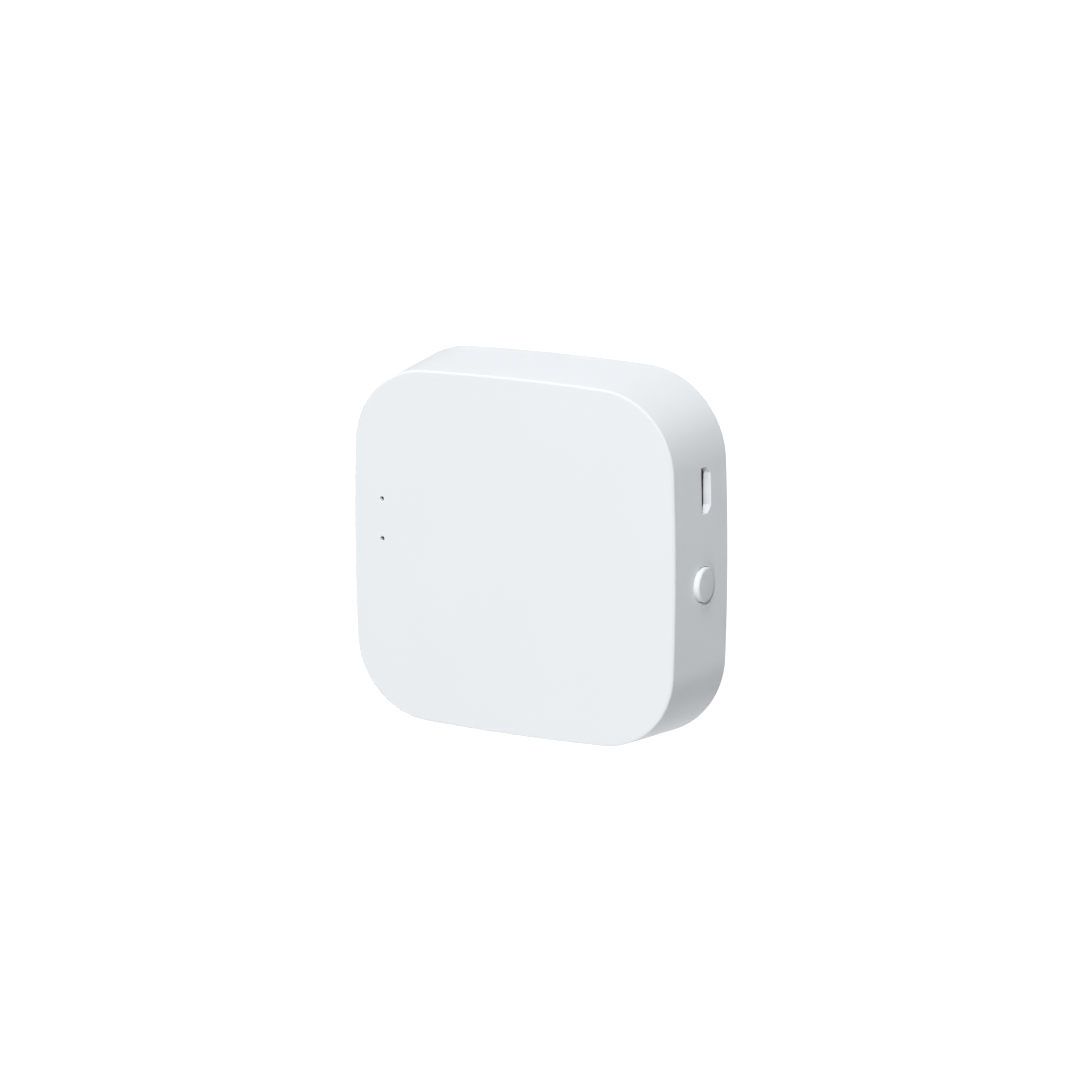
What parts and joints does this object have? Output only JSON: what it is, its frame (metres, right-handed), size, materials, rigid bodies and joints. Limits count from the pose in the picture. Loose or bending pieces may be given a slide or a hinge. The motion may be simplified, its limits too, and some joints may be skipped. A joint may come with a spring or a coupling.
{
  "type": "zigbee gateway",
  "caption": "Square white smart-home hub with round corners, status pinholes, a side micro-USB socket and a side push button.",
  "frame": {"origin": "middle of the flat back, which the part lies on", "axes": "+Z out of the front face, +X out of the side with the socket and the button, +Y out of the side that is up in the picture"},
  "size_m": [0.065, 0.065, 0.0168],
  "materials": {
    "housing_plastic": "satin moulded white",
    "base_plastic": "fine matt texture",
    "button_plastic": "satin moulded white",
    "plunger_plastic": "plain",
    "main_board_laminate": "green solder mask",
    "module_laminate": "black solder mask",
    "black_plastic": "moulded",
    "chip_black": "moulded epoxy",
    "resistor_black": "glazed",
    "ceramic_tan": "fired ceramic",
    "fuse_green": "coated",
    "led_white": "moulded",
    "led_clear": "clear epoxy",
    "black_rubber": "soft matt",
    "socket_steel": "nickel plated",
    "can_steel": "tinned",
    "spring_steel": "polished",
    "screw_steel": "zinc plated",
    "tinned_lead": "tinned",
    "solder": "bright",
    "can_aluminium": "satin",
    "gold_plate": "gold plated",
    "bare_copper": "etched copper"
  },
  "bodies": {
    "housing": {"base_plate": "base_plastic", "board_screws": "screw_steel", "ceramic_capacitors": "ceramic_tan", "electrolytic_base": "black_plastic", "electrolytic_can": "can_aluminium", "electrolytic_leads": "tinned_lead", "front_housing": "housing_plastic", "light_shield": "black_rubber", "lower_led_base": "led_white", "lower_led_lens": "led_clear", "main_board": "main_board_laminate", "power_fuse": "fuse_green", "regulator_body": "chip_black", "regulator_leads": "tinned_lead", "resistors": "resistor_black", "surge_diode_body": "chip_black", "surge_diode_leads": "tinned_lead", "switch_body": "black_plastic", "switch_dome": "spring_steel", "switch_frame": "socket_steel", "switch_terminals": "tinned_lead", "upper_led_base": "led_white", "upper_led_lens": "led_clear", "usb_contacts": "gold_plate", "usb_shell": "socket_steel", "usb_tongue": "black_plastic", "wifi_antenna": "bare_copper", "wifi_crystal": "can_steel", "wifi_flash_chip": "chip_black", "wifi_module_board": "module_laminate", "wifi_processor_chip": "chip_black", "wifi_shield_can": "can_steel", "wifi_solder_joints": "solder", "zigbee_antenna": "bare_copper", "zigbee_crystal": "can_steel", "zigbee_module_board": "module_laminate", "zigbee_radio_chip": "chip_black", "zigbee_shield_can": "can_steel", "zigbee_solder_joints": "solder"},
    "button": {"button_cap": "button_plastic"},
    "plunger": {"switch_plunger": "plunger_plastic"}
  },
  "joints": [
    {"name": "button_press", "type": "slide", "parent": "housing", "child": "button", "axis": [-1, 0, 0], "range_m": [0, 0.0003], "stiffness_N_per_m": 4000, "springref_m": -0.0001},
    {"name": "switch_press", "type": "slide", "parent": "housing", "child": "plunger", "axis": [-1, 0, 0], "range_m": [0, 0.0003], "deforming": ["switch_dome"]}
  ],
  "couplings": [
    {"joint": "switch_press", "follows": "button_press", "ratio": 1}
  ]
}
